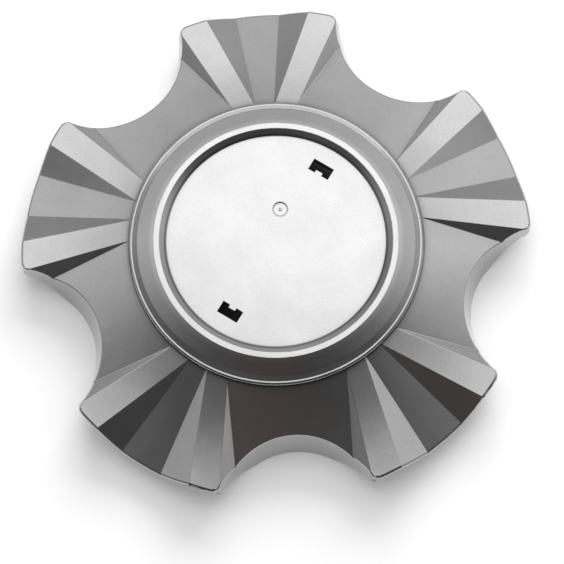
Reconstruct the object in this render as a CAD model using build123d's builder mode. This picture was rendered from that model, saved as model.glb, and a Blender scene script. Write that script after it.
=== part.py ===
from build123d import *
from math import acos, cos, degrees, hypot, radians, sin, tan
import os

os.makedirs("parts", exist_ok=True)

# Wheel centre cap. Millimetres, +Z out of the wheel's face. The origin is the middle of the badge
# seat, on the wheel's axis. One lobe points along +Y.

# the star outline
lobe_count = 5
first_lobe_angle = 90.0
tip_radius = 69.3
nut_circle_radius = 75.0
nut_clearance_radius = 22.7
nut_clearance_height = -5.5
draft_angle = 13.4

# the moulded wall and the rounding of the lobes' creases
wall = 2.5
notch_wall = 2.4
crease_round = 0.5

# the badge seat and the raised ring round it
seat_radius = 29.5
rim_inner_radius = 31.3
rim_height = 1.25
rim_outer_radius = 32.8
rim_round = 0.4
ring_shoulder_radius = 37.3
ring_shoulder_height = 0.2
ring_shoulder_round = 0.6
ring_ledge_radius = 38.7
ring_ledge_height = -0.9
ring_edge_radius = 39.7
ring_step = 1.5

# the cone that the lobes and the webs lie on
web_slope_angle = 13.8

# the two ribs on each lobe, by their edges' angles from the lobe's middle
rib_outer_angle_at_ring = 12.6
rib_inner_angle_at_ring = 3.7
rib_overrun_angle = 0.6
rib_top_angle_at_tip = 7.0
rib_rise_at_tip = 3.5
rib_flank_angle = 35.0
rib_inner_slope_angle = 24.6

# the notch walls' feet
foot_height = -16.0
foot_outer_radius = 58.5
foot_rise_angle = 38.0

# how far a shape that is trimmed later runs on past the outline, and down below the ribs
trim_margin = 6.0
rib_block_depth = 5.0

# the two badge slots in the seat
slot_pitch_radius = 23.3
slot_angle = 54.0
slot_length = 6.0
slot_end_width = 3.2
slot_end_length = 1.9
slot_waist_width = 1.5

# the clip legs and the hub rib that they grow from
leg_count = 10
leg_arc_angle = 15.0
leg_inner_radius = 42.4
leg_thickness = 1.9
leg_end_height = -15.4
hub_rib_height = 1.8
barb_reach = 1.6
barb_height = -9.4
lip_reach = 1.1
lip_height = 1.2

# the spring ring in the legs
wire_diameter = 2.0
wire_sides = 10
wire_clearance = 0.1
wire_height = -11.4
wire_gap_angle = 12.0
wire_end_length = 5.0
wire_end_bend = 2.5

# the stiffening ribs under the lobes
stiffener_thickness = 1.4
stiffener_depth = 5.0
stiffener_end_depth = 1.0
stiffener_end_radius = 62.0

# worked out from the sizes above
lobe_pitch = 360.0 / lobe_count
web_top_height = ring_ledge_height - ring_step
web_slope = tan(radians(web_slope_angle))
beyond_tip = tip_radius + trim_margin
draft = tan(radians(draft_angle))
first_notch_angle = first_lobe_angle - lobe_pitch / 2
corner_angle = lobe_pitch / 2 - degrees(
    acos(
        (tip_radius**2 + nut_circle_radius**2 - nut_clearance_radius**2)
        / (2 * tip_radius * nut_circle_radius)
    )
)
rib_outer_angle_at_tip = corner_angle + rib_overrun_angle
rib_inner_angle_at_tip = rib_outer_angle_at_tip - rib_top_angle_at_tip
rib_block_start = ring_shoulder_radius - wall / 2
leg_root_height = web_top_height - wall / 2
slot_end_offset = (slot_length - slot_end_length) / 2
wall_along_axis = wall / cos(radians(web_slope_angle))
notch_foot_radius = nut_clearance_radius - draft * (nut_clearance_height - foot_height)
notch_top_radius = nut_clearance_radius + draft * (rim_height - nut_clearance_height)


def web_height(radius):
    return web_top_height - web_slope * (radius - ring_edge_radius)


def rib_corner(radius, angle, height):
    """A corner of a rib, on the lobe that points along +X."""
    return Vector(radius * cos(radians(angle)), radius * sin(radians(angle)), height)


def sloping_plane(start, end, side, angle):
    """The plane through a rib's edge that falls away to one side, at an angle from level."""
    along = (end - start).normalized()
    level = Vector(along.Y, -along.X, 0).normalized() * side
    down = level * cos(radians(angle)) - Vector(0, 0, sin(radians(angle)))
    facing = along.cross(down)
    if facing.Z < 0:
        facing = facing * -1
    return Plane(origin=start, x_dir=along, z_dir=facing)


def rib_pair(inset):
    """Both ribs of the lobe along +X, each a block trimmed by its top, flank and inner slope."""
    rib_tip_height = web_height(tip_radius) + rib_rise_at_tip
    outer_start = rib_corner(ring_edge_radius, rib_outer_angle_at_ring, web_top_height)
    inner_start = rib_corner(ring_edge_radius, rib_inner_angle_at_ring, web_top_height)
    outer_end = rib_corner(tip_radius, rib_outer_angle_at_tip, rib_tip_height)
    inner_end = rib_corner(tip_radius, rib_inner_angle_at_tip, rib_tip_height)
    top = Plane(
        origin=outer_start,
        x_dir=outer_end - outer_start,
        z_dir=(inner_end - outer_start).cross(outer_end - outer_start),
    )
    flank = sloping_plane(outer_start, outer_end, -1, rib_flank_angle)
    inner_slope = sloping_plane(inner_start, inner_end, 1, rib_inner_slope_angle)
    with BuildPart() as pair:
        with BuildSketch(Plane.XY.offset(web_height(beyond_tip) - rib_block_depth)):
            with Locations(((rib_block_start + beyond_tip) / 2, 0)):
                Rectangle(beyond_tip - rib_block_start, 2 * tip_radius)
        extrude(amount=rib_block_depth - web_height(beyond_tip))
        for face_plane in (top, flank, inner_slope):
            split(bisect_by=face_plane.offset(-inset), keep=Keep.BOTTOM)
        mirror(about=Plane.XZ)
    return pair.part


def is_crease(edge):
    """True for an edge between two faces of a lobe or web, outside the ring."""
    middle = edge.position_at(0.5)
    across = ring_edge_radius + crease_round < hypot(middle.X, middle.Y) < beyond_tip - crease_round
    return across and middle.Z > foot_height + crease_round


# the cap's face as a solid: the revolved ring and cone with the ribs on it. Its creases are rounded
# before the outline is cut, so that each rounding runs straight off at the outline.
with BuildPart() as face_form:
    with BuildSketch(Plane.XZ):
        with BuildLine():
            section = FilletPolyline(
                (seat_radius, 0),
                (rim_inner_radius, rim_height),
                (rim_outer_radius, rim_height),
                (ring_shoulder_radius, ring_shoulder_height),
                (ring_ledge_radius, ring_ledge_height),
                radius=[rim_round, rim_round, ring_shoulder_round],
            )
            Polyline(
                section @ 1,
                (ring_edge_radius, ring_ledge_height),
                (ring_edge_radius, web_top_height),
                (beyond_tip, web_height(beyond_tip)),
                (beyond_tip, foot_height),
                (0, foot_height),
                (0, 0),
                section @ 0,
            )
        make_face()
    revolve(axis=Axis.Z)
    with PolarLocations(0, lobe_count, first_lobe_angle):
        add(rib_pair(0.0))
    fillet(face_form.edges().filter_by(is_crease), crease_round)

# the same form one wall lower, which hollows the cap from below
with BuildPart() as hollow_form:
    with BuildSketch(Plane.XZ):
        with BuildLine():
            Polyline(
                (0, foot_height - wall),
                (0, -wall),
                (ring_shoulder_radius, -wall),
                (ring_edge_radius, web_top_height - wall_along_axis),
                (beyond_tip, web_height(beyond_tip) - wall_along_axis),
                (beyond_tip, foot_height - wall),
                close=True,
            )
        make_face()
    revolve(axis=Axis.Z)
    with PolarLocations(0, lobe_count, first_lobe_angle):
        add(rib_pair(wall))

# the cap's outside: the face cut to the star outline, whose notches widen upward by their draft
with BuildPart() as outer_form:
    with BuildSketch(Plane.XY.offset(foot_height)):
        Circle(tip_radius)
    extrude(amount=rim_height - foot_height)
    with PolarLocations(nut_circle_radius, lobe_count, first_notch_angle):
        with Locations((0, 0, foot_height)):
            Cone(
                notch_foot_radius,
                notch_top_radius,
                rim_height - foot_height,
                align=(Align.CENTER, Align.CENTER, Align.MIN),
                mode=Mode.SUBTRACT,
            )
    add(face_form.part, mode=Mode.INTERSECT)

# the five walls round the wheel nuts, cut away below towards the tips
with BuildPart() as notch_walls:
    with PolarLocations(nut_circle_radius, lobe_count, first_notch_angle):
        with Locations((0, 0, foot_height)):
            Cone(
                notch_foot_radius + notch_wall,
                notch_top_radius + notch_wall,
                rim_height - foot_height,
                align=(Align.CENTER, Align.CENTER, Align.MIN),
            )
    add(outer_form.part, mode=Mode.INTERSECT)
    with BuildSketch(Plane.XZ):
        with BuildLine():
            foot_rise = (beyond_tip - foot_outer_radius) * tan(radians(foot_rise_angle))
            Polyline(
                (foot_outer_radius, foot_height - wall),
                (foot_outer_radius, foot_height),
                (beyond_tip, foot_height + foot_rise),
                (beyond_tip, foot_height - wall),
                close=True,
            )
        make_face()
    revolve(axis=Axis.Z, mode=Mode.SUBTRACT)

# one clip leg with its barb outside and two lips inside, which hold the spring ring
with BuildPart() as clip_leg:
    with BuildSketch(Plane.XZ):
        with BuildLine():
            leg_outer_radius = leg_inner_radius + leg_thickness
            lip_radius = leg_inner_radius - lip_reach
            groove_top = wire_height + wire_diameter / 2 + wire_clearance
            groove_foot = wire_height - wire_diameter / 2 - wire_clearance
            Polyline(
                (leg_inner_radius, leg_root_height),
                (leg_inner_radius, groove_top + lip_height),
                (lip_radius, groove_top + lip_height / 2),
                (lip_radius, groove_top),
                (leg_inner_radius, groove_top),
                (leg_inner_radius, groove_foot),
                (lip_radius, groove_foot),
                (lip_radius, groove_foot - lip_height / 2),
                (leg_inner_radius, groove_foot - lip_height),
                (leg_inner_radius, leg_end_height),
                (leg_outer_radius - leg_thickness / 2, leg_end_height),
                (leg_outer_radius + barb_reach, barb_height - barb_reach),
                (leg_outer_radius + barb_reach, barb_height - barb_reach / 2),
                (leg_outer_radius, barb_height),
                (leg_outer_radius, leg_root_height),
                close=True,
            )
        make_face()
    revolve(axis=Axis.Z, revolution_arc=leg_arc_angle)

# one stiffening rib, from the hub rib out under the middle of a lobe
with BuildPart() as stiffener:
    with BuildSketch(Plane.XZ):
        with BuildLine():
            stiffener_start = leg_inner_radius + leg_thickness / 2
            Polyline(
                (stiffener_start, web_height(stiffener_start) - wall / 2),
                (stiffener_end_radius, web_height(stiffener_end_radius) - wall / 2),
                (stiffener_end_radius, web_height(stiffener_end_radius) - wall_along_axis - stiffener_end_depth),
                (stiffener_start, web_height(stiffener_start) - wall_along_axis - stiffener_depth),
                close=True,
            )
        make_face()
    extrude(amount=stiffener_thickness / 2, both=True)

# the whole moulding
with BuildPart() as cap_body:
    add(outer_form.part)
    add(hollow_form.part, mode=Mode.SUBTRACT)
    add(notch_walls.part)
    with BuildSketch(Plane.XY.offset(leg_root_height)):
        Circle(leg_inner_radius + leg_thickness)
        Circle(leg_inner_radius, mode=Mode.SUBTRACT)
    extrude(amount=-wall / 2 - hub_rib_height)
    with PolarLocations(0, leg_count, first_lobe_angle - leg_arc_angle / 2):
        add(clip_leg.part)
    with PolarLocations(0, lobe_count, first_lobe_angle):
        add(stiffener.part)
    # dog-bone slots through the seat, for the badge's tabs
    with PolarLocations(slot_pitch_radius, 2, slot_angle):
        Box(slot_waist_width, slot_length, 3 * wall, mode=Mode.SUBTRACT)
        with Locations((0, slot_end_offset), (0, -slot_end_offset)):
            Box(slot_end_width, slot_end_length, 3 * wall, mode=Mode.SUBTRACT)

# the spring ring, a wire bent round with its two ends turned inward. Its round section has ten
# sides, to keep its mesh light.
with BuildPart() as retaining_ring:
    with BuildLine(Plane.XY.offset(wire_height)) as wire_path:
        half_gap = radians(wire_gap_angle / 2)
        ring_radius = leg_inner_radius - wire_diameter / 2 - wire_clearance
        end_radius = ring_radius - wire_end_length
        Line(
            (end_radius * cos(half_gap), end_radius * sin(half_gap)),
            (ring_radius * cos(half_gap), ring_radius * sin(half_gap)),
        )
        CenterArc((0, 0), ring_radius, wire_gap_angle / 2, 360 - wire_gap_angle)
        Line(
            (ring_radius * cos(half_gap), -ring_radius * sin(half_gap)),
            (end_radius * cos(half_gap), -end_radius * sin(half_gap)),
        )
        fillet(wire_path.vertices().sort_by(lambda v: hypot(v.X, v.Y))[-2:], wire_end_bend)
    with BuildSketch(Plane(origin=wire_path.wire() @ 0, z_dir=wire_path.wire() % 0)):
        RegularPolygon(wire_diameter / 2, wire_sides)
    sweep()

cap_body.part.label = "cap_body"
export_step(cap_body.part, "parts/cap_body.step")
retaining_ring.part.label = "retaining_ring"
export_step(retaining_ring.part, "parts/retaining_ring.step")
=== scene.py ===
import math

import bmesh
import bpy
from mathutils import Matrix, Vector
from mathutils.bvhtree import BVHTree
from mathutils.kdtree import KDTree


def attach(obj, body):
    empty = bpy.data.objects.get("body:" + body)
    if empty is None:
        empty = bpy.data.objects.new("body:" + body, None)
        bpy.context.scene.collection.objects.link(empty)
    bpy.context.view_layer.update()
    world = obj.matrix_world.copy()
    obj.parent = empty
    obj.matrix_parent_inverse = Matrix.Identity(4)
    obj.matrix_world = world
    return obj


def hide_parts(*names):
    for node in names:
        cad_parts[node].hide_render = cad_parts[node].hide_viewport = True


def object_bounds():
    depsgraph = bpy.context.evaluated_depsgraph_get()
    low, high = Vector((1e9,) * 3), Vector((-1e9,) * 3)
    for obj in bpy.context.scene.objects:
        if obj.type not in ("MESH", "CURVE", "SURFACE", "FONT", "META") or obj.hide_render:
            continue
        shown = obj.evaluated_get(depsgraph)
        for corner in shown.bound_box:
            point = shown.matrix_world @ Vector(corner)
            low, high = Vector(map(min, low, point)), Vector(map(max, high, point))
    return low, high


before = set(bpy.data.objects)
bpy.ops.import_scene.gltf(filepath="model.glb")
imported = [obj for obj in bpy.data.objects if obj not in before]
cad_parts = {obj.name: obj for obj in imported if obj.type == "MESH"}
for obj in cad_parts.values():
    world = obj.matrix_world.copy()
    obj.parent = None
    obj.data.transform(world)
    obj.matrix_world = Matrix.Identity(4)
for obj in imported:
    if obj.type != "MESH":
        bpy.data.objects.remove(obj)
cad_low, cad_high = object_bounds()

# Cap body. One injection-moulded piece of tough grey plastic, with its gate in the badge seat. Its
# face and the outside of its walls are sprayed with bright metallic silver paint under a clear
# lacquer, and its inside is left bare. It snaps into the wheel by the ten legs under its ring.

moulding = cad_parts["cap_body"]
lobe_count = 5
first_notch_angle = math.radians(54)
tip_radius = 0.0693
nut_circle_radius = 0.075
nut_clearance_radius = 0.0227
nut_clearance_height = -0.0055
draft = math.tan(math.radians(13.4))
ring_edge_radius = 0.0397
ring_ledge_height = -0.0009
web_top_height = -0.0024
web_slope = math.tan(math.radians(13.8))
ring_face_inner = 0.0325
ring_face_outer = 0.0390
ring_face_slope = math.radians(13.1)
ring_face_crown = math.radians(15.3)
seat_radius = 0.0295
seat_edge = 0.001
paint_reach = 0.001

# the rounding, and how near counts as on a surface, as one spot and as one face
corner_round = 0.0020
tip_round = 0.0008
notch_round = 0.00035
ledge_round = 0.0007
slot_round = 0.00015
on_surface = 0.00008
left_outside = 0.00002
weld = 0.000001
sliver = 0.000005
same_spot = 0.000002
same_face = 0.995
flat = math.radians(0.3)
least_bend = math.radians(15)
sharp_bend = math.radians(32)
faces_up_from = 0.5

# the gate's dimple in the seat, with the nub where the runner broke off, and the cutter's top
gate_place = Vector((0.0018, 0.0085, 0))
gate_radius = 0.0021
gate_floor_radius = 0.0016
gate_depth = 0.0002
gate_top = 0.001
nub_radius = 0.0005
nub_top_radius = nub_radius * 0.6
nub_height = 0.00012
gate_steps = 48

# the badge slots, whose outer sides are cut straight
slot_pitch_radius = 0.0233
slot_angle = math.radians(54)
slot_length = 0.006
slot_width = 0.0032
slot_waist_width = 0.0015
slot_cut_depth = 0.00375


def turned(name, profile, steps, centre):
    """A closed solid turned round an upright axis from (radius, height) pairs, ends on the axis."""
    form = bmesh.new()
    rings = []
    for radius, height in profile:
        if radius == 0:
            rings.append([form.verts.new(centre + Vector((0, 0, height)))])
        else:
            angles = [2 * math.pi * i / steps for i in range(steps)]
            spots = [Vector((radius * math.cos(a), radius * math.sin(a), height)) for a in angles]
            rings.append([form.verts.new(centre + spot) for spot in spots])
    for below, above in zip(rings, rings[1:]):
        for i in range(steps):
            corners = [below[i % len(below)], below[(i + 1) % len(below)]]
            corners += [above[(i + 1) % len(above)], above[i % len(above)]]
            form.faces.new(list(dict.fromkeys(corners)))
    bmesh.ops.recalc_face_normals(form, faces=form.faces)
    mesh = bpy.data.meshes.new(name)
    form.to_mesh(mesh)
    form.free()
    return bpy.data.objects.new(name, mesh)


def finished(piece):
    """The mesh of a piece with its modifiers applied."""
    depsgraph = bpy.context.evaluated_depsgraph_get()
    return bpy.data.meshes.new_from_object(piece.evaluated_get(depsgraph))


def from_nut(point):
    """The way from the axis of the nearest wheel nut to a point, along the level."""
    angles = [first_notch_angle + i * 2 * math.pi / lobe_count for i in range(lobe_count)]
    axes = [Vector((nut_circle_radius * math.cos(a), nut_circle_radius * math.sin(a))) for a in angles]
    return min((point.xy - axis for axis in axes), key=lambda way: way.length)


def off_notch(point):
    """Distance of a point from the nearest notch wall, along the level."""
    away = from_nut(point).length
    return away - nut_clearance_radius - draft * (point.z - nut_clearance_height)


def round_corner(point):
    """Moves a point near a corner of a lobe inward, so that the corner's square becomes an arc."""
    in_from_tip = corner_round - (tip_radius - point.xy.length)
    in_from_notch = corner_round - off_notch(point)
    if min(in_from_tip, in_from_notch) <= 0 or max(in_from_tip, in_from_notch) > 1.2 * corner_round:
        return
    shrink = max(in_from_tip, in_from_notch) / math.hypot(in_from_tip, in_from_notch) - 1
    ways = Matrix((point.xy.normalized(), -from_nut(point).normalized()))
    step = ways.inverted() @ Vector((in_from_tip * shrink, in_from_notch * shrink))
    point.xy += step


def rounding(edge):
    """The radius that an edge of the moulding is rounded to, or nought."""
    if len(edge.link_faces) != 2 or not edge.is_convex or edge.calc_face_angle() < least_bend:
        return 0.0
    ends = [corner.co for corner in edge.verts]
    at_tip = all(abs(end.xy.length - tip_radius) < on_surface for end in ends)
    at_notch = all(abs(off_notch(end)) < on_surface for end in ends)
    faces_up = max(face.normal.z for face in edge.link_faces) > faces_up_from
    if at_tip and at_notch:
        return 0.0
    if at_tip and faces_up:
        return tip_round
    if at_notch and faces_up:
        return notch_round
    on_seat = all(end.z > -on_surface and end.xy.length < seat_radius - seat_edge for end in ends)
    if faces_up and on_seat:
        return slot_round
    at_ledge = all(abs(end.xy.length - ring_edge_radius) < on_surface for end in ends)
    if at_ledge and all(abs(end.z - ring_ledge_height) < on_surface for end in ends):
        return ledge_round
    return 0.0


def is_bare(face):
    """True for a face of the moulding's inside, which the paint doesn't reach."""
    middle = face.calc_center_median()
    radius = middle.xy.length
    if radius < ring_edge_radius + on_surface:
        return middle.z < web_top_height or face.normal.z < -0.5
    if radius > tip_radius - corner_round or off_notch(middle) < tip_round:
        return face.normal.z < -0.7
    web_height = web_top_height - web_slope * (radius - ring_edge_radius)
    return face.normal.z < 0.1 or middle.z < web_height - paint_reach


# one cutter for the gate and for the outer sides of the slots
gate_profile = [(0, gate_top), (gate_radius, gate_top), (gate_radius, 0)]
gate_profile += [(gate_floor_radius, -gate_depth), (nub_radius, -gate_depth)]
gate_profile += [(nub_top_radius, nub_height - gate_depth)]
gate_profile += [(0, nub_height - gate_depth)]
gate = turned("gate", gate_profile, gate_steps, gate_place)
form = bmesh.new()
form.from_mesh(gate.data)
cut_width = (slot_width + slot_waist_width) / 2
cut_radius = slot_pitch_radius + slot_width / 2 - cut_width / 2
for i in range(2):
    place = Matrix.Rotation(slot_angle + i * math.pi, 4, "Z") @ Matrix.Translation((cut_radius, 0, 0))
    size = Matrix.Diagonal((cut_width, slot_length - slot_waist_width, 2 * slot_cut_depth, 1))
    bmesh.ops.create_cube(form, size=1, matrix=place @ size)
form.to_mesh(gate.data)
form.free()

# the moulding with those cut, as a scratch piece
form = bmesh.new()
form.from_mesh(moulding.data)
bmesh.ops.remove_doubles(form, verts=form.verts, dist=weld)
whole = bpy.data.meshes.new("whole")
form.to_mesh(whole)
form.free()
blank = bpy.data.objects.new("blank", whole)
for scratch in (blank, gate):
    bpy.context.scene.collection.objects.link(scratch)
cut = blank.modifiers.new("gate", "BOOLEAN")
cut.operation = "DIFFERENCE"
cut.solver = "EXACT"
cut.object = gate

# its outline, its ledge and its slots rounded, each by the bevel's width times the edge's weight
form = bmesh.new()
form.from_mesh(finished(blank))
bmesh.ops.remove_doubles(form, verts=form.verts, dist=sliver)
bmesh.ops.dissolve_degenerate(form, edges=form.edges, dist=sliver)
bmesh.ops.dissolve_limit(form, angle_limit=flat, verts=form.verts, edges=form.edges)
weight = form.edges.layers.float.new("bevel_weight_edge")
for edge in form.edges:
    edge[weight] = rounding(edge) / tip_round
sharp = bpy.data.meshes.new("sharp")
form.to_mesh(sharp)
form.free()
blank.modifiers.clear()
blank.data = sharp
soften = blank.modifiers.new("rounding", "BEVEL")
soften.width = tip_round
soften.limit_method = "WEIGHT"
soften.segments = 3
soften.use_clamp_overlap = False
body_mesh = finished(blank)

# a point that the bevel left outside the moulding goes back to its surface
form = bmesh.new()
form.from_mesh(sharp)
surface = BVHTree.FromBMesh(form)
form.free()
for vertex in body_mesh.vertices:
    nearest, way, _, _ = surface.find_nearest(vertex.co)
    if (vertex.co - nearest).dot(way) > left_outside:
        vertex.co = nearest
    round_corner(vertex.co)

# smooth faces, with the sharp edges kept and the large faces' normals first
body_mesh.shade_smooth()
body_mesh.set_sharp_from_angle(angle=sharp_bend)
body = bpy.data.objects.new("cap_shell", body_mesh)
bpy.context.scene.collection.objects.link(body)
even = body.modifiers.new("even", "WEIGHTED_NORMAL")
even.keep_sharp = True
body_mesh = finished(body)
body.modifiers.clear()
body.data = body_mesh

# the smooth normals of the moulding's curved faces, kept at each corner that hasn't moved
curved = moulding.data
places = KDTree(len(curved.loops))
for loop in curved.loops:
    places.insert(curved.vertices[loop.vertex_index].co, loop.index)
places.balance()
face_of = [face.index for face in curved.polygons for _ in face.loop_indices]
normals = [corner.vector.copy() for corner in body_mesh.corner_normals]
for face in body_mesh.polygons:
    for index in face.loop_indices:
        spot = body_mesh.vertices[body_mesh.loops[index].vertex_index].co
        near = [found for _, found, _ in places.find_range(spot, same_spot)]
        if near:
            best = max(near, key=lambda found: curved.polygons[face_of[found]].normal.dot(face.normal))
            if curved.polygons[face_of[best]].normal.dot(face.normal) > same_face:
                normals[index] = curved.corner_normals[best].vector.copy()

# the ring's face is crowned by a few hundredths of a millimetre, which only its normals show
for face in body_mesh.polygons:
    radius = face.center.xy.length
    slope = math.acos(min(1.0, face.normal.z))
    if ring_face_inner < radius < ring_face_outer and abs(slope - ring_face_slope) < math.radians(1):
        for index in face.loop_indices:
            spot = body_mesh.vertices[body_mesh.loops[index].vertex_index].co
            outward = spot.xy.normalized() * math.sin(ring_face_crown)
            normals[index] = Vector((outward.x, outward.y, math.cos(ring_face_crown)))
body_mesh.normals_split_custom_set(normals)
for scratch in (blank, gate):
    bpy.data.objects.remove(scratch)


def add_node(tree, kind, x, y, **settings):
    """A node at a place in the tree, with the settings given by name."""
    node = tree.nodes.new(kind)
    node.location = (x, y)
    for name, value in settings.items():
        setattr(node, name, value)
    return node


def new_group(name, inputs, outputs):
    """An empty shader group with its sockets, each given as name: (kind, default)."""
    group = bpy.data.node_groups.new(name, "ShaderNodeTree")
    for direction, sockets in (("INPUT", inputs), ("OUTPUT", outputs)):
        for label, (kind, default) in sockets.items():
            socket = group.interface.new_socket(name=label, in_out=direction, socket_type=kind)
            if default is not None:
                socket.default_value = default
    entry = add_node(group, "NodeGroupInput", -900, 0)
    leave = add_node(group, "NodeGroupOutput", 900, 0)
    return group, entry, leave


def place_group(tree, group, x, y, **values):
    """A copy of a group in a material, with its inputs set by name."""
    node = add_node(tree, "ShaderNodeGroup", x, y, node_tree=group)
    for name, value in values.items():
        node.inputs[name.replace("_", " ")].default_value = value
    return node


def math_value(tree, kind, a, b, x, y, c=None):
    """The value of a math node on values or links."""
    node = add_node(tree, "ShaderNodeMath", x, y, operation=kind)
    for i, value in enumerate((a, b, c)):
        if isinstance(value, float):
            node.inputs[i].default_value = value
        elif value is not None:
            tree.links.new(value, node.inputs[i])
    return node.outputs["Value"]


# Fine flake or grain of two tones, over the slow ripple of a sprayed or moulded surface.
flake_group, flake_in, flake_out = new_group(
    "flake and ripple",
    {
        "Flake Scale": ("NodeSocketFloat", 3000.0),
        "Flake Depth": ("NodeSocketFloat", 0.05),
        "Ripple Scale": ("NodeSocketFloat", 60.0),
        "Ripple Depth": ("NodeSocketFloat", 0.1),
        "Dark": ("NodeSocketColor", (0.4, 0.4, 0.4, 1)),
        "Light": ("NodeSocketColor", (0.5, 0.5, 0.5, 1)),
    },
    {"Colour": ("NodeSocketColor", None), "Normal": ("NodeSocketVector", None)},
)
place = add_node(flake_group, "ShaderNodeTexCoord", -900, -260)
flakes = add_node(flake_group, "ShaderNodeTexVoronoi", -620, 200)
flakes.voronoi_dimensions = "3D"
ripple = add_node(flake_group, "ShaderNodeTexNoise", -620, -200)
ripple.inputs["Detail"].default_value = 2.0
link = flake_group.links.new
link(place.outputs["Object"], flakes.inputs["Vector"])
link(place.outputs["Object"], ripple.inputs["Vector"])
link(flake_in.outputs["Flake Scale"], flakes.inputs["Scale"])
link(flake_in.outputs["Ripple Scale"], ripple.inputs["Scale"])
flake_grey = add_node(flake_group, "ShaderNodeSeparateColor", -380, 200)
link(flakes.outputs["Color"], flake_grey.inputs["Color"])
tone = add_node(flake_group, "ShaderNodeMix", 0, 300, data_type="RGBA")
link(flake_grey.outputs["Red"], tone.inputs["Factor"])
link(flake_in.outputs["Dark"], tone.inputs["A"])
link(flake_in.outputs["Light"], tone.inputs["B"])
link(tone.outputs["Result"], flake_out.inputs["Colour"])
flake_bump = add_node(flake_group, "ShaderNodeBump", 200, 0)
flake_bump.inputs["Distance"].default_value = 0.00005
link(flake_grey.outputs["Green"], flake_bump.inputs["Height"])
link(flake_in.outputs["Flake Depth"], flake_bump.inputs["Strength"])
ripple_bump = add_node(flake_group, "ShaderNodeBump", 460, -60)
ripple_bump.inputs["Distance"].default_value = 0.0005
link(ripple.outputs["Fac"], ripple_bump.inputs["Height"])
link(flake_in.outputs["Ripple Depth"], ripple_bump.inputs["Strength"])
link(flake_bump.outputs["Normal"], ripple_bump.inputs["Normal"])
link(ripple_bump.outputs["Normal"], flake_out.inputs["Normal"])

# A soft mottle of the tone, and painted shade in the creases, where ambient occlusion darkens the
# colour. Both are guessed.
tone_group, tone_in, tone_out = new_group(
    "mottle and creases",
    {
        "Colour": ("NodeSocketColor", (0.5, 0.5, 0.5, 1)),
        "Mottle Scale": ("NodeSocketFloat", 60.0),
        "Mottle": ("NodeSocketFloat", 0.06),
        "Crease Reach": ("NodeSocketFloat", 0.0025),
        "Crease Shade": ("NodeSocketFloat", 0.4),
    },
    {"Colour": ("NodeSocketColor", None), "Tone": ("NodeSocketFloat", None)},
)
link = tone_group.links.new
place = add_node(tone_group, "ShaderNodeTexCoord", -900, -300)
cloud = add_node(tone_group, "ShaderNodeTexNoise", -640, -300)
cloud.inputs["Detail"].default_value = 3.0
link(place.outputs["Object"], cloud.inputs["Vector"])
link(tone_in.outputs["Mottle Scale"], cloud.inputs["Scale"])
middled = math_value(tone_group, "SUBTRACT", cloud.outputs["Fac"], 0.5, -420, -300)
mottle = tone_in.outputs["Mottle"]
mottled = math_value(tone_group, "MULTIPLY_ADD", middled, mottle, -200, -300, 1.0)
# painted shade: the creases darkened by ambient occlusion
hollow = add_node(tone_group, "ShaderNodeAmbientOcclusion", -640, 200, samples=6, only_local=True)
link(tone_in.outputs["Crease Reach"], hollow.inputs["Distance"])
closed = add_node(tone_group, "ShaderNodeMapRange", -420, 200, interpolation_type="SMOOTHSTEP")
closed.inputs["From Min"].default_value = 0.95
closed.inputs["From Max"].default_value = 0.5
link(hollow.outputs["AO"], closed.inputs["Value"])
strength = tone_in.outputs["Crease Shade"]
shade = math_value(tone_group, "MULTIPLY", closed.outputs["Result"], strength, -200, 100)
kept = math_value(tone_group, "SUBTRACT", 1.0, shade, 0, 100)
kept.node.use_clamp = True
both = math_value(tone_group, "MULTIPLY", kept, mottled, 200, 0)
toned = add_node(tone_group, "ShaderNodeVectorMath", 500, 100, operation="SCALE")
link(tone_in.outputs["Colour"], toned.inputs[0])
link(both, toned.inputs["Scale"])
link(toned.outputs["Vector"], tone_out.inputs["Colour"])
link(both, tone_out.inputs["Tone"])

# The star's face mirrors the room as if slightly dished, so its normals tilt by a few degrees from the
# ring to the tips, as a function of the radius. The mesh itself stays flat.
dish_group, dish_in, dish_out = new_group(
    "dished face",
    {
        "Normal": ("NodeSocketVector", (0, 0, 1)),
        "Start Radius": ("NodeSocketFloat", 0.04),
        "Ease Length": ("NodeSocketFloat", 0.009),
        "Start Slope": ("NodeSocketFloat", -0.07),
        "End Slope": ("NodeSocketFloat", 0.05),
    },
    {"Normal": ("NodeSocketVector", None), "Radius": ("NodeSocketFloat", None)},
)
link = dish_group.links.new
place = add_node(dish_group, "ShaderNodeTexCoord", -1300, 0)
level_way = add_node(dish_group, "ShaderNodeVectorMath", -1100, 0, operation="MULTIPLY")
level_way.inputs[1].default_value = (1, 1, 0)
link(place.outputs["Object"], level_way.inputs[0])
reach = add_node(dish_group, "ShaderNodeVectorMath", -900, 100, operation="LENGTH")
link(level_way.outputs["Vector"], reach.inputs[0])
outward = add_node(dish_group, "ShaderNodeVectorMath", -900, -300, operation="NORMALIZE")
link(level_way.outputs["Vector"], outward.inputs[0])
radius = reach.outputs["Value"]
beyond = math_value(dish_group, "SUBTRACT", radius, dish_in.outputs["Start Radius"], -700, 100)
eased_by = math_value(dish_group, "DIVIDE", beyond, dish_in.outputs["Ease Length"], -500, 100)
falling = math_value(dish_group, "MULTIPLY", eased_by, -1.0, -400, 100)
fading = math_value(dish_group, "EXPONENT", falling, None, -300, 100)
start_slope, end_slope = dish_in.outputs["Start Slope"], dish_in.outputs["End Slope"]
change = math_value(dish_group, "SUBTRACT", start_slope, end_slope, -500, -100)
slope = math_value(dish_group, "MULTIPLY_ADD", fading, change, -100, 100, end_slope)
on_star = math_value(dish_group, "GREATER_THAN", beyond, 0.0, -300, 300)
slope = math_value(dish_group, "MULTIPLY", slope, on_star, 100, 100)
parts = add_node(dish_group, "ShaderNodeSeparateXYZ", -100, -200)
link(dish_in.outputs["Normal"], parts.inputs["Vector"])
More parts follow.
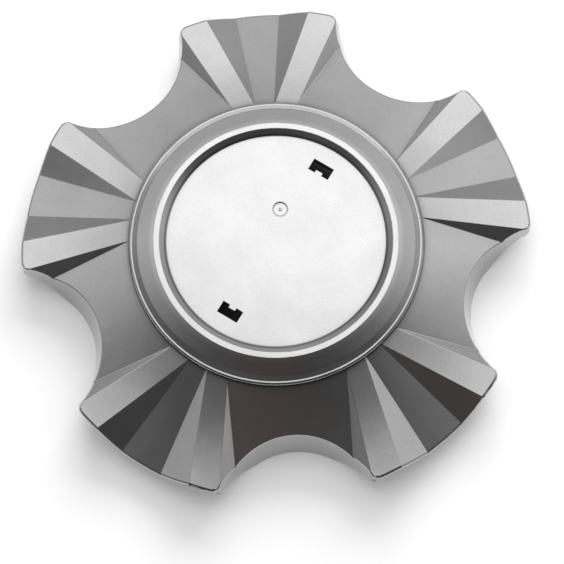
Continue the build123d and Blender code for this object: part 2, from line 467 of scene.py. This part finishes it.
tip_by = math_value(dish_group, "MULTIPLY", slope, parts.outputs["Z"], 300, 0)
tip = add_node(dish_group, "ShaderNodeVectorMath", 450, -200, operation="SCALE")
link(outward.outputs["Vector"], tip.inputs[0])
link(tip_by, tip.inputs["Scale"])
dished = add_node(dish_group, "ShaderNodeVectorMath", 600, -100, operation="SUBTRACT")
link(dish_in.outputs["Normal"], dished.inputs[0])
link(tip.outputs["Vector"], dished.inputs[1])
whole_normal = add_node(dish_group, "ShaderNodeVectorMath", 750, -100, operation="NORMALIZE")
link(dished.outputs["Vector"], whole_normal.inputs[0])
link(whole_normal.outputs["Vector"], dish_out.inputs["Normal"])
link(radius, dish_out.inputs["Radius"])

# the silver paint, dished on the star by its normals, with painted shade at some radii
silver = bpy.data.materials.new("silver_paint")
silver.use_nodes = True
tree = silver.node_tree
shader = tree.nodes["Principled BSDF"]
paint = place_group(
    tree,
    flake_group,
    -300,
    100,
    Dark=(0.415, 0.415, 0.415, 1),
    Light=(0.455, 0.455, 0.455, 1),
    Flake_Scale=5200.0,
    Flake_Depth=0.02,
    Ripple_Depth=0.08,
)
dish = place_group(
    tree,
    dish_group,
    -300,
    -200,
    Start_Radius=ring_edge_radius,
    Ease_Length=0.0336,
    Start_Slope=-0.098,
    End_Slope=0.110,
)
# the paint mottled at random, with painted shade in its creases
mottled_and_crease_shaded = place_group(tree, tone_group, -100, 300, Mottle_Scale=70.0, Mottle=0.25, Crease_Shade=1.0)

# the paint's tone by radius in metres, set from the photograph: painted shade, darker in the wall of
# the seat, and a little darker on the ring's face and outer edge. That the spray is thin there is a
# guess.
shade_by_radius = (
    (0.0292, 1.0),
    (0.0294, 0.5),
    (0.0299, 0.5),
    (0.0302, 1.0),
    (0.0335, 1.0),
    (0.0343, 0.83),
    (0.0370, 0.83),
    (0.0378, 1.0),
    (0.0386, 1.0),
    (0.0392, 0.72),
    (0.0398, 0.72),
    (0.0400, 1.0),
)
shade_reach = 0.05
share = add_node(tree, "ShaderNodeMath", -500, 500, operation="DIVIDE")
share.inputs[1].default_value = shade_reach
radial_shade = add_node(tree, "ShaderNodeValToRGB", -300, 600)
stops = radial_shade.color_ramp.elements
for radius_at, _ in shade_by_radius[1:-1]:
    stops.new(radius_at / shade_reach)
for stop, (radius_at, tone_at) in zip(stops, shade_by_radius):
    stop.position = radius_at / shade_reach
    stop.color = (tone_at, tone_at, tone_at, 1)
# painted shade: the paint's colour multiplied by its tone by radius
radial_shading = add_node(tree, "ShaderNodeMix", 100, 300, data_type="RGBA", blend_type="MULTIPLY")
radial_shading.inputs["Factor"].default_value = 1.0
link = tree.links.new
link(dish.outputs["Radius"], share.inputs[0])
link(share.outputs["Value"], radial_shade.inputs["Fac"])
link(paint.outputs["Normal"], dish.inputs["Normal"])
link(paint.outputs["Colour"], mottled_and_crease_shaded.inputs["Colour"])
link(radial_shade.outputs["Color"], radial_shading.inputs["B"])
link(mottled_and_crease_shaded.outputs["Colour"], radial_shading.inputs["A"])
link(radial_shading.outputs["Result"], shader.inputs["Base Color"])
link(dish.outputs["Normal"], shader.inputs["Normal"])
link(dish.outputs["Normal"], shader.inputs["Coat Normal"])
shader.inputs["Metallic"].default_value = 1.0
shader.inputs["Roughness"].default_value = 0.12
shader.inputs["Coat Weight"].default_value = 0.5
shader.inputs["Coat Roughness"].default_value = 0.03

# the bare plastic of the inside, with the fine grain of the mould
bare = bpy.data.materials.new("bare_plastic")
bare.use_nodes = True
tree = bare.node_tree
shader = tree.nodes["Principled BSDF"]
plastic = place_group(
    tree,
    flake_group,
    -300,
    100,
    Dark=(0.028, 0.028, 0.029, 1),
    Light=(0.040, 0.040, 0.041, 1),
    Flake_Scale=2200.0,
    Flake_Depth=0.25,
    Ripple_Depth=0.1,
)
tree.links.new(plastic.outputs["Colour"], shader.inputs["Base Color"])
tree.links.new(plastic.outputs["Normal"], shader.inputs["Normal"])
shader.inputs["Roughness"].default_value = 0.48

# paint on the face and the outer walls, bare plastic inside
body_mesh.materials.clear()
body_mesh.materials.append(silver)
body_mesh.materials.append(bare)
form = bmesh.new()
form.from_mesh(body_mesh)
bare_faces = [face.index for face in form.faces if is_bare(face)]
form.free()
for face in body_mesh.polygons:
    face.material_index = 0
for index in bare_faces:
    body_mesh.polygons[index].material_index = 1
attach(body, "root")
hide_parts("cap_body")

# Retaining ring. Hard-drawn spring wire, bent round with both ends turned in. It is sprung into
# the lips of the legs and presses them outward.

wire_radius = 0.001
wire_height = -0.0114
wire_ring_radius = 0.0413
wire_end_radius = 0.0363
wire_half_gap = math.radians(6)
wire_bend = 0.0025
wire_points = 60
wire_sides = 16
wire_bend_steps = 4

wire = bpy.data.materials.new("spring_wire")
wire.use_nodes = True
tree = wire.node_tree
shader = tree.nodes["Principled BSDF"]
steel = place_group(
    tree,
    flake_group,
    -300,
    100,
    Dark=(0.16, 0.16, 0.165, 1),
    Light=(0.30, 0.30, 0.31, 1),
    Flake_Scale=900.0,
)
tree.links.new(steel.outputs["Colour"], shader.inputs["Base Color"])
tree.links.new(steel.outputs["Normal"], shader.inputs["Normal"])
shader.inputs["Metallic"].default_value = 1.0
shader.inputs["Roughness"].default_value = 0.35

# the path from one end round to the other, with a sharp corner where each end turns in
sweep = 2 * (math.pi - wire_half_gap) / wire_points
stations = [(wire_end_radius, wire_half_gap)]
stations += [(wire_ring_radius, wire_half_gap + i * sweep) for i in range(wire_points + 1)]
stations += [(wire_end_radius, -wire_half_gap)]
spots = [(radius * math.cos(a), radius * math.sin(a), wire_height) for radius, a in stations]
path_mesh = bpy.data.meshes.new("retaining_wire")
path_mesh.from_pydata(spots, [(i, i + 1) for i in range(len(spots) - 1)], [])
spring = bpy.data.objects.new("retaining_wire", path_mesh)
bpy.context.scene.collection.objects.link(spring)

# the path's corners bent, and a round wire swept along it
bend_tree = bpy.data.node_groups.new("bent wire", "GeometryNodeTree")
sockets = {
    "Path": ("NodeSocketGeometry", None),
    "Bend": ("NodeSocketFloat", wire_bend),
    "Wire Radius": ("NodeSocketFloat", wire_radius),
    "Sides": ("NodeSocketInt", wire_sides),
    "Bend Steps": ("NodeSocketInt", wire_bend_steps),
    "Material": ("NodeSocketMaterial", wire),
}
for label, (kind, default) in sockets.items():
    socket = bend_tree.interface.new_socket(name=label, in_out="INPUT", socket_type=kind)
    if default is not None:
        socket.default_value = default
bend_tree.interface.new_socket(name="Wire", in_out="OUTPUT", socket_type="NodeSocketGeometry")
link = bend_tree.links.new
given = add_node(bend_tree, "NodeGroupInput", -800, 0)
line = add_node(bend_tree, "GeometryNodeMeshToCurve", -600, 100)
bent = add_node(bend_tree, "GeometryNodeFilletCurve", -400, 100, mode="POLY")
bent.inputs["Limit Radius"].default_value = True
section = add_node(bend_tree, "GeometryNodeCurvePrimitiveCircle", -400, -200)
swept = add_node(bend_tree, "GeometryNodeCurveToMesh", -200, 0)
swept.inputs["Fill Caps"].default_value = True
real = add_node(bend_tree, "GeometryNodeRealizeInstances", 0, 0)
coated = add_node(bend_tree, "GeometryNodeSetMaterial", 200, 0)
result = add_node(bend_tree, "NodeGroupOutput", 400, 0)
link(given.outputs["Path"], line.inputs["Mesh"])
link(line.outputs["Curve"], bent.inputs["Curve"])
link(given.outputs["Bend"], bent.inputs["Radius"])
link(given.outputs["Bend Steps"], bent.inputs["Count"])
link(given.outputs["Wire Radius"], section.inputs["Radius"])
link(given.outputs["Sides"], section.inputs["Resolution"])
link(bent.outputs["Curve"], swept.inputs["Curve"])
link(section.outputs["Curve"], swept.inputs["Profile Curve"])
link(swept.outputs["Mesh"], real.inputs["Geometry"])
link(real.outputs["Geometry"], coated.inputs["Geometry"])
link(given.outputs["Material"], coated.inputs["Material"])
link(coated.outputs["Geometry"], result.inputs["Wire"])
bending = spring.modifiers.new("wire", "NODES")
bending.node_group = bend_tree
wire_mesh = finished(spring)
spring.modifiers.clear()
spring.data = wire_mesh
wire_mesh.shade_smooth()
wire_mesh.set_sharp_from_angle(angle=math.radians(40))
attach(spring, "root")
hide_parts("retaining_ring")

# The floor, a sheet of white board. It shows white to the camera and in the paint away from the cap,
# and keeps the cap's shadow. Its glow fades out towards the cap, as painted shade under and round it.

floor_size = 6.0
floor_glow = 0.22
full_glow_from = 0.052
mesh = bpy.data.meshes.new("floor")
half = floor_size / 2
corners = ((-half, -half), (half, -half), (half, half), (-half, half))
mesh.from_pydata([(x, y, cad_low.z) for x, y in corners], [], [(0, 1, 2, 3)])
floor = bpy.data.objects.new("floor", mesh)
bpy.context.scene.collection.objects.link(floor)
board = bpy.data.materials.new("white_board")
board.use_nodes = True
tree = board.node_tree
shader = tree.nodes["Principled BSDF"]
shader.inputs["Base Color"].default_value = (0.88, 0.88, 0.88, 1)
shader.inputs["Roughness"].default_value = 0.9
shader.inputs["Specular IOR Level"].default_value = 0.1
shader.inputs["Emission Color"].default_value = (1, 1, 1, 1)
link = tree.links.new
path = add_node(tree, "ShaderNodeLightPath", -600, -300)
by_camera, by_gloss = path.outputs["Is Camera Ray"], path.outputs["Is Glossy Ray"]
seen = math_value(tree, "MAXIMUM", by_camera, by_gloss, -400, -300)
on_floor = add_node(tree, "ShaderNodeTexCoord", -1000, -500)
reach = add_node(tree, "ShaderNodeVectorMath", -800, -500, operation="LENGTH")
link(on_floor.outputs["Object"], reach.inputs[0])
# painted shade: the floor's glow fades from nothing under the cap to full beyond full_glow_from
open_floor = add_node(tree, "ShaderNodeMapRange", -600, -500, interpolation_type="SMOOTHSTEP")
open_floor.inputs["From Min"].default_value = seat_radius
open_floor.inputs["From Max"].default_value = full_glow_from
open_floor.inputs["To Max"].default_value = floor_glow
link(reach.outputs["Value"], open_floor.inputs["Value"])
glow = math_value(tree, "MULTIPLY", seen, open_floor.outputs["Result"], -200, -300)
link(glow, shader.inputs["Emission Strength"])
floor.data.materials.append(board)

# The light. A studio sky: an even grey, a wide bright panel and a brighter one in it above and
# behind the cap, and a dark room in front where the photographer stands.

world = bpy.data.worlds.new("studio")
bpy.context.scene.world = world
world.use_nodes = True
tree = world.node_tree
backdrop = tree.nodes["Background"]
way = add_node(tree, "ShaderNodeTexCoord", -1400, 0)


def unit(tilt, turn):
    """A direction, tilted from straight up and turned from +Y towards +X, in degrees."""
    a, b = math.radians(tilt), math.radians(turn)
    return Vector((math.sin(a) * math.sin(b), math.sin(a) * math.cos(b), math.cos(a)))


def along(direction, y):
    """The cosine between the ray and a direction."""
    node = add_node(tree, "ShaderNodeVectorMath", -1100, y, operation="DOT_PRODUCT")
    tree.links.new(way.outputs["Generated"], node.inputs[0])
    node.inputs[1].default_value = direction
    return node.outputs["Value"]


def eased(source, start, end, y):
    """Nought to one, eased, as the source goes from start to end."""
    node = add_node(tree, "ShaderNodeMapRange", -900, y, interpolation_type="SMOOTHSTEP")
    tree.links.new(source, node.inputs["Value"])
    node.inputs["From Min"].default_value = start
    node.inputs["From Max"].default_value = end
    return node.outputs["Result"]


def panel(tilt, turn, inner, outer, y):
    """The mask of a round soft panel: full within the inner angle, none past the outer one."""
    edge, core = math.cos(math.radians(outer)), math.cos(math.radians(inner))
    return eased(along(unit(tilt, turn), y), edge, core, y)


# levels of the sky and the room, as the paint shows them, over the grey of the paint. They and the
# patches below were fitted to the tones of the faces in the photograph.
paint_grey = 0.44
room_level = 0.054 / paint_grey
room_rise = 0.011 / paint_grey
front_dark = 0.017 / paint_grey
horizon_level = 0.25 / paint_grey
sky_at_top = 0.532 / paint_grey
sky_across = 0.060 / paint_grey
sky_fall = 0.569 / paint_grey
wide_level = 0.72 / paint_grey
bright_level = 0.21 / paint_grey

# the edge between the sky behind and the room in front, and the pale band along the horizon
sky_turn = 4.8
sky_tilt = 0.573
sky_from = -0.248
sky_to = 0.518
band_top = 0.32
band_from = -0.6
band_to = 0.3

# soft patches of the sky and the room: tilt, turn, and the angles of their core and of their end
wide_panel = (20.6, 1.9, 11.4, 27.6)
bright_panel = (21.2, 4.5, 5.4, 6.8)
dark_patch = (42, 170, 8.0, 32.0)
brown_patch = (27, -169, 7.0, 17.0)

upward = along(Vector((0, 0, 1)), -100)
sideways = along(Vector((1, 0, 0)), 100)
edge_way = unit(90, sky_turn) - Vector((0, 0, sky_tilt))
behind = eased(along(edge_way, 300), sky_from - sky_tilt, sky_to - sky_tilt, 300)
across = math_value(tree, "MULTIPLY_ADD", sideways, sky_across, -700, 100, sky_at_top - sky_fall)
sky = math_value(tree, "MULTIPLY_ADD", upward, sky_fall, -500, 0, across)
room = math_value(tree, "MULTIPLY_ADD", upward, -room_rise, -500, -100, room_level + room_rise)
rise = eased(upward, band_top, 0.0, -900)
far_back = eased(along(Vector((0, 1, 0)), -1100), band_from, band_to, -1100)
band = math_value(tree, "MULTIPLY", rise, far_back, -700, -900)
horizon = math_value(tree, "MULTIPLY", band, horizon_level, -500, -900)
room = math_value(tree, "ADD", room, horizon, -300, -900)
dark = panel(*dark_patch, -700)
room = math_value(tree, "MULTIPLY_ADD", dark, -front_dark, -400, -200, room)
level = math_value(tree, "MULTIPLY_ADD", sky, behind, -300, 100, room)
wide = panel(*wide_panel, -300)
step = math_value(tree, "SUBTRACT", wide_level, level, -300, -200)
level = math_value(tree, "MULTIPLY_ADD", step, wide, -100, 0, level)
bright = panel(*bright_panel, -500)
level = math_value(tree, "MULTIPLY_ADD", bright, bright_level, 100, 0, level)
tree.links.new(level, backdrop.inputs["Strength"])

# the room in front is a hair warmer than the sky, with a brown patch where the photographer is
tint = add_node(tree, "ShaderNodeMix", -100, 300, data_type="RGBA")
tree.links.new(behind, tint.inputs["Factor"])
tint.inputs["A"].default_value = (1.01, 1.0, 0.995, 1)
tint.inputs["B"].default_value = (0.998, 1.0, 1.0, 1)
brown = add_node(tree, "ShaderNodeMix", 100, 300, data_type="RGBA", blend_type="MULTIPLY")
brown.inputs["B"].default_value = (1.11, 0.96, 0.92, 1)
tree.links.new(panel(*brown_patch, -1300), brown.inputs["Factor"])
tree.links.new(tint.outputs["Result"], brown.inputs["A"])
tree.links.new(brown.outputs["Result"], backdrop.inputs["Color"])

# a low soft box behind lights the floor, and lays the cap's shadow towards the camera
lamp_place = unit(62, 18) * 1.8
lamp_data = bpy.data.lights.new("back_light", "AREA")
lamp_data.shape = "RECTANGLE"
lamp_data.size = 1.6
lamp_data.size_y = 0.8
lamp_data.energy = 30.0
lamp = bpy.data.objects.new("back_light", lamp_data)
bpy.context.scene.collection.objects.link(lamp)
facing = lamp_place.to_track_quat("Z", "Y").to_matrix().to_4x4()
lamp.matrix_world = Matrix.Translation(lamp_place) @ facing
lamp.visible_glossy = False

# The camera, 574 mm from the cap and well above it, as the photograph was taken.

lens_pixels = 2155.0
image_pixels = 564.0
elevation = math.radians(74.15)
distance = 0.5744
roll = math.radians(-3.42)
turn = math.radians(-1.25)
aim = Vector((0.000943, -0.011629, -0.00064))

back = Vector((0, -math.cos(elevation), math.sin(elevation)))
right = Vector((1, 0, 0))
up = Vector((0, math.sin(elevation), math.cos(elevation)))
rolled_right = right * math.cos(roll) + up * math.sin(roll)
rolled_up = up * math.cos(roll) - right * math.sin(roll)
columns = Matrix((rolled_right, rolled_up, back)).transposed().to_4x4()
columns.translation = aim + back * distance

camera_data = bpy.data.cameras.new("camera")
camera_data.sensor_width = 36.0
camera_data.lens = lens_pixels / image_pixels * camera_data.sensor_width
camera_data.clip_start = 0.05
camera_data.clip_end = 20.0
camera = bpy.data.objects.new("camera", camera_data)
bpy.context.scene.collection.objects.link(camera)
camera.matrix_world = Matrix.Rotation(turn, 4, "Z") @ columns
bpy.context.scene.camera = camera
bpy.context.scene.view_settings.view_transform = "Standard"
